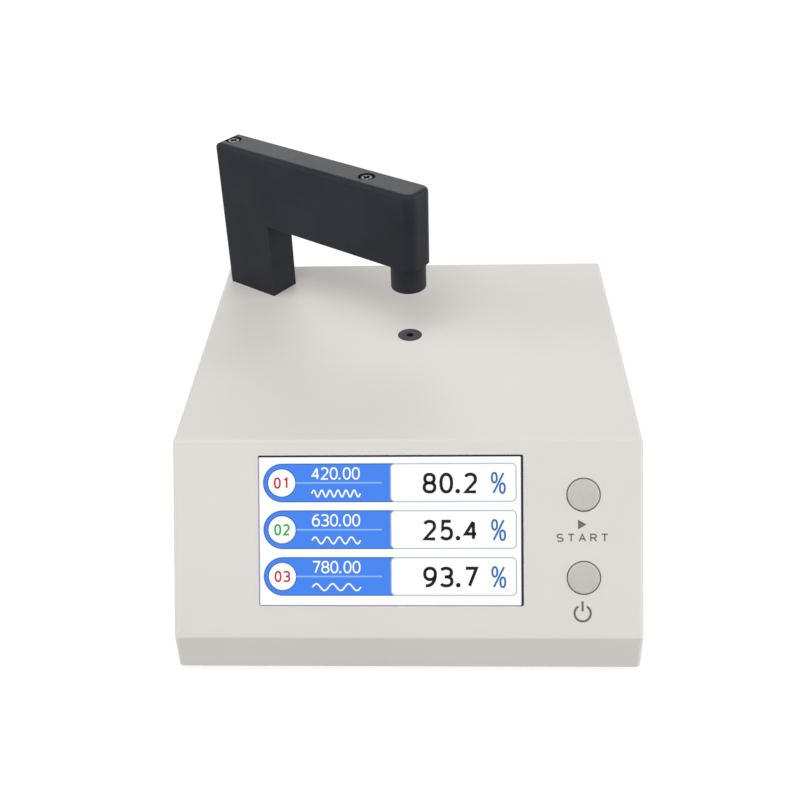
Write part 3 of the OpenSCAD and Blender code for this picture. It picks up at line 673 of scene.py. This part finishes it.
# Lit colours of the display
def lit_material(name, colour):
    """Lit area of the display: the colour glows, over a faint grid of picture dots."""
    made, tree, shader = new_material(name)
    place = tree.nodes.new("ShaderNodeTexCoord")
    dots = tree.nodes.new("ShaderNodeTexBrick")
    dots.offset = 0.0
    dots.inputs["Scale"].default_value = 1.0 / DOT_PITCH
    dots.inputs["Brick Width"].default_value = 1.0
    dots.inputs["Row Height"].default_value = 1.0
    dots.inputs["Mortar Size"].default_value = DOT_GAP
    dimmed = [DOT_GAP_LIGHT * value for value in colour[:3]]
    dots.inputs["Color1"].default_value = colour
    dots.inputs["Color2"].default_value = colour
    dots.inputs["Mortar"].default_value = (*dimmed, 1.0)
    tree.links.new(place.outputs["Object"], dots.inputs["Vector"])
    tree.links.new(dots.outputs["Color"], shader.inputs["Emission Color"])
    shader.inputs["Emission Strength"].default_value = 1.0
    shader.inputs["Base Color"].default_value = DARK_GLASS
    shader.inputs["Roughness"].default_value = 0.3
    shader.inputs["Specular IOR Level"].default_value = 0.1
    return made


LIT_WHITE = lit_material("lit_white", grey(1.0))
LIT_BLUE = lit_material("lit_blue", srgb(68, 133, 242))
LIT_DEEP_BLUE = lit_material("lit_deep_blue", srgb(48, 104, 190))
LIT_PALE_BLUE = lit_material("lit_pale_blue", srgb(138, 190, 252))
LIT_GREY = lit_material("lit_grey", srgb(176, 192, 208))
LIT_INK = lit_material("lit_ink", srgb(12, 12, 14))
LIT_RED = lit_material("lit_red", srgb(202, 40, 44))
LIT_GREEN = lit_material("lit_green", srgb(36, 172, 56))
LIT_PERCENT = lit_material("lit_percent", srgb(34, 112, 184))
LIT_LAVENDER = lit_material("lit_lavender", srgb(150, 141, 178))

# Display image
module_low, module_high = panel_extent("display_panel")
window_left = module_low.x + MODULE_SIDE
window_right = module_high.x - MODULE_SIDE
window_bottom = module_low.y + MODULE_BOTTOM
window_top = module_high.y - MODULE_TOP
window_centre = Vector(((window_left + window_right) / 2, (window_bottom + window_top) / 2, module_high.z))
row_places = [ROWS_UP + ROW_PITCH * (1 - i) for i in range(len(ROWS))]


def screen_piece(name, mesh, material):
    panel_piece(name, mesh, window_centre, material)


def layer(number):
    """Lower and upper height of a drawn layer above the display's face."""
    return (number - 1) * LAYER, number * LAYER


def make_lit_area():
    lit = bmesh.new()
    pale = bmesh.new()
    half_w = (window_right - window_left) / 2
    half_h = (window_top - window_bottom) / 2
    left, right = BORDER_LEFT - half_w, half_w - BORDER_RIGHT
    bottom, top = BORDER_BOTTOM - half_h, half_h - BORDER_TOP
    add_prism(lit, rounded_box(left, bottom, right, top, LIT_CORNER, LIT_CORNER), *layer(LIT_LAYER))
    border = rounded_box(-half_w, -half_h, right, top, LIT_CORNER, LIT_CORNER)
    add_prism(pale, border, *layer(BORDER_LAYER))
    screen_piece("screen_lit_area", lit, LIT_WHITE)
    screen_piece("screen_pale_border", pale, LIT_LAVENDER)


def make_pills():
    edges = bmesh.new()
    fills = bmesh.new()
    for v in row_places:
        low, high = v - ROW_H / 2, v + ROW_H / 2
        outer = rounded_box(PILL_LEFT, low, PILL_RIGHT, high, ROW_H / 2, LIT_CORNER)
        inner = rounded_box(
            PILL_LEFT + PILL_EDGE, low + PILL_EDGE, PILL_RIGHT - PILL_EDGE, high - PILL_EDGE,
            ROW_H / 2 - PILL_EDGE, LIT_CORNER,
        )
        add_prism(edges, outer, *layer(PILL_EDGE_LAYER))
        add_prism(fills, inner, *layer(PILL_LAYER))
    screen_piece("screen_pill_edges", edges, LIT_DEEP_BLUE)
    screen_piece("screen_pills", fills, LIT_BLUE)


def make_badges():
    discs = bmesh.new()
    rings = bmesh.new()
    inks = {"red": bmesh.new(), "green": bmesh.new()}
    for row, v in zip(ROWS, row_places):
        add_prism(rings, disc((BADGE_X, v), BADGE_R + PILL_EDGE), *layer(DETAIL_LAYER))
        add_prism(discs, disc((BADGE_X, v), BADGE_R), *layer(BOX_LAYER))
        left = BADGE_X - words_width(row.badge, BADGE_STYLE) / 2
        bottom = v - BADGE_STYLE.height / 2
        add_words(inks[row.ink], row.badge, left, bottom, BADGE_STYLE, *layer(INK_LAYER))
    screen_piece("screen_badge_rings", rings, LIT_DEEP_BLUE)
    screen_piece("screen_badges", discs, LIT_WHITE)
    screen_piece("screen_badge_numbers", inks["red"], LIT_RED)
    screen_piece("screen_middle_number", inks["green"], LIT_GREEN)


def make_rules():
    mesh = bmesh.new()
    for v in row_places:
        add_band(mesh, [(RULE_LEFT, v), (RULE_RIGHT, v)], RULE_T, *layer(DETAIL_LAYER))
    screen_piece("screen_rules", mesh, LIT_PALE_BLUE)


def make_labels():
    mesh = bmesh.new()
    for row, v in zip(ROWS, row_places):
        add_words(mesh, row.label, LABEL_LEFT, v + LABEL_GAP, LABEL_STYLE, *layer(DETAIL_LAYER))
        line = wave(LABEL_LEFT, WAVE_RIGHT, v - WAVE_DROP, WAVE_H - WAVE_STROKE, row.periods)
        add_band(mesh, line, WAVE_STROKE, *layer(DETAIL_LAYER))
    screen_piece("screen_labels", mesh, LIT_WHITE)


def make_value_boxes():
    edges = bmesh.new()
    boxes = bmesh.new()
    for v in row_places:
        low, high = v - ROW_H / 2, v + ROW_H / 2
        outer = rounded_box(BOX_LEFT, low, BOX_RIGHT, high, BOX_CORNER, BOX_CORNER)
        inner = rounded_box(
            BOX_LEFT + BOX_EDGE, low + BOX_EDGE, BOX_RIGHT - BOX_EDGE, high - BOX_EDGE,
            BOX_CORNER - BOX_EDGE, BOX_CORNER - BOX_EDGE,
        )
        add_prism(edges, outer, *layer(DETAIL_LAYER))
        add_prism(boxes, inner, *layer(BOX_LAYER))
    screen_piece("screen_value_edges", edges, LIT_GREY)
    screen_piece("screen_value_boxes", boxes, LIT_WHITE)


def make_values():
    numbers = bmesh.new()
    signs = bmesh.new()
    for row, v in zip(ROWS, row_places):
        middle = v - VALUE_DROP
        number_foot = middle - VALUE_STYLE.height / 2
        sign_foot = middle - PERCENT_STYLE.height / 2
        add_words(numbers, row.value, VALUE_LEFT, number_foot, VALUE_STYLE, *layer(INK_LAYER))
        add_words(signs, "%", PERCENT_LEFT, sign_foot, PERCENT_STYLE, *layer(INK_LAYER))
    screen_piece("screen_values", numbers, LIT_INK)
    screen_piece("screen_percent_signs", signs, LIT_PERCENT)


make_lit_area()
make_pills()
make_badges()
make_rules()
make_labels()
make_value_boxes()
make_values()

# Print on the panel
PRINT_GREY = print_material()
panel_face = panel_extent("housing_shell")[1].z


def key_centre(node):
    """Point of the panel's face in front of a key's centre."""
    low, high = panel_extent(node)
    return Vector(((low.x + high.x) / 2, (low.y + high.y) / 2, panel_face))


def make_start_label():
    mesh = bmesh.new()
    half_h = START_SIGN_H / 2
    half_w = START_SIGN_W / 2
    sign = [(-half_w, -half_h), (half_w, 0.0), (-half_w, half_h)]
    add_prism(mesh, [(PRINT_SHIFT + x, y - START_SIGN_DROP) for x, y in sign], 0.0, PRINT_T)
    left = PRINT_SHIFT - words_width("START", START_STYLE) / 2
    bottom = -START_WORD_DROP - START_STYLE.height / 2
    add_words(mesh, "START", left, bottom, START_STYLE, 0.0, PRINT_T)
    panel_piece("start_label", mesh, key_centre("operation_button"), PRINT_GREY)


def make_power_sign():
    mesh = bmesh.new()
    centre = (PRINT_SHIFT, -POWER_SIGN_DROP)
    radius = (POWER_SIGN_D - POWER_SIGN_STROKE) / 2
    ring = arc(centre, radius, 90 + POWER_SIGN_OPENING, 450 - POWER_SIGN_OPENING)
    add_band(mesh, ring, POWER_SIGN_STROKE, 0.0, PRINT_T)
    bar = [(centre[0], centre[1] + POWER_BAR_BOTTOM), (centre[0], centre[1] + POWER_BAR_TOP)]
    add_band(mesh, bar, POWER_SIGN_STROKE, 0.0, PRINT_T)
    panel_piece("power_sign", mesh, key_centre("power_button"), PRINT_GREY)


make_start_label()
make_power_sign()


# Stage
def background_rays(tree):
    """1 for rays from the camera, reflections and glass, 0 for the light that falls on surfaces."""
    path = tree.nodes.new("ShaderNodeLightPath")
    seen = combine(tree, "MAXIMUM", path.outputs["Is Camera Ray"], path.outputs["Is Glossy Ray"])
    return combine(tree, "MAXIMUM", seen, path.outputs["Is Transmission Ray"])


def add_diffuse(tree, brightness):
    node = tree.nodes.new("ShaderNodeBsdfDiffuse")
    node.inputs["Color"].default_value = grey(brightness)
    return node.outputs[0]


def floor_material():
    """Floor that is white to the eye and keeps shadows, and bounces light as a pale floor does."""
    made, tree, shader = new_material("floor_white")
    tree.nodes.remove(shader)
    place = tree.nodes.new("ShaderNodeTexCoord")
    away = tree.nodes.new("ShaderNodeVectorMath")
    away.operation = "LENGTH"
    tree.links.new(place.outputs["Object"], away.inputs[0])
    fade = map_range(tree, away.outputs["Value"], FLOOR_FADE_START, FLOOR_FADE_END, FLOOR_GLOW, 1.0)
    glow = tree.nodes.new("ShaderNodeEmission")
    tree.links.new(fade, glow.inputs["Strength"])
    seen = tree.nodes.new("ShaderNodeAddShader")
    tree.links.new(add_diffuse(tree, FLOOR_SHADE), seen.inputs[0])
    tree.links.new(glow.outputs[0], seen.inputs[1])
    mixed = tree.nodes.new("ShaderNodeMixShader")
    tree.links.new(background_rays(tree), mixed.inputs["Fac"])
    tree.links.new(add_diffuse(tree, FLOOR_BOUNCE), mixed.inputs[1])
    tree.links.new(seen.outputs[0], mixed.inputs[2])
    tree.links.new(mixed.outputs[0], tree.nodes["Material Output"].inputs["Surface"])
    return made


def make_floor():
    mesh = bmesh.new()
    bmesh.ops.create_grid(mesh, x_segments=2, y_segments=2, size=FLOOR_SIZE / 2)
    data = bpy.data.meshes.new("floor")
    mesh.to_mesh(data)
    mesh.free()
    data.materials.append(floor_material())
    floor = bpy.data.objects.new("floor", data)
    scene.collection.objects.link(floor)


def make_world():
    world = bpy.data.worlds.new("studio")
    scene.world = world
    world.use_nodes = True
    tree = world.node_tree
    light = tree.nodes["Background"]
    light.inputs["Color"].default_value = grey(1.0)
    light.inputs["Strength"].default_value = WORLD_LIGHT
    seen = tree.nodes.new("ShaderNodeBackground")
    seen.inputs["Color"].default_value = grey(1.0)
    seen.inputs["Strength"].default_value = 1.0
    mixed = tree.nodes.new("ShaderNodeMixShader")
    tree.links.new(background_rays(tree), mixed.inputs["Fac"])
    tree.links.new(light.outputs[0], mixed.inputs[1])
    tree.links.new(seen.outputs[0], mixed.inputs[2])
    tree.links.new(mixed.outputs[0], tree.nodes["World Output"].inputs["Surface"])


def make_softbox(box):
    """Square lamp that lights a white card facing it to its level, a share of full white."""
    data = bpy.data.lights.new(box.name, "AREA")
    data.shape = "SQUARE"
    data.size = box.size
    data.energy = box.level * math.pi ** 2 * box.distance ** 2
    away = Vector(box.direction).normalized()
    lamp = bpy.data.objects.new(box.name, data)
    lamp.location = LAMP_TARGET + away * box.distance
    lamp.rotation_euler = (-away).to_track_quat("-Z", "Y").to_euler()
    scene.collection.objects.link(lamp)


def make_camera():
    pitch = math.radians(CAMERA_PITCH)
    yaw = math.radians(CAMERA_YAW)
    roll = math.radians(CAMERA_ROLL)
    forward = Vector((math.sin(yaw) * math.cos(pitch), math.cos(yaw) * math.cos(pitch), -math.sin(pitch)))
    level_right = Vector((math.cos(yaw), -math.sin(yaw), 0.0))
    level_up = level_right.cross(forward)
    right = math.cos(roll) * level_right + math.sin(roll) * level_up
    up = math.cos(roll) * level_up - math.sin(roll) * level_right
    data = bpy.data.cameras.new("camera")
    data.sensor_width = CAMERA_SENSOR
    data.lens = CAMERA_LENS
    data.clip_start = CAMERA_CLIP
    camera = bpy.data.objects.new("camera", data)
    turn = Matrix((right, up, -forward)).transposed()
    camera.matrix_world = Matrix.Translation(CAMERA_PLACE) @ turn.to_4x4()
    scene.collection.objects.link(camera)
    scene.camera = camera


make_floor()
make_world()
for softbox in SOFTBOXES:
    make_softbox(softbox)
make_camera()
scene.view_settings.view_transform = "Standard"
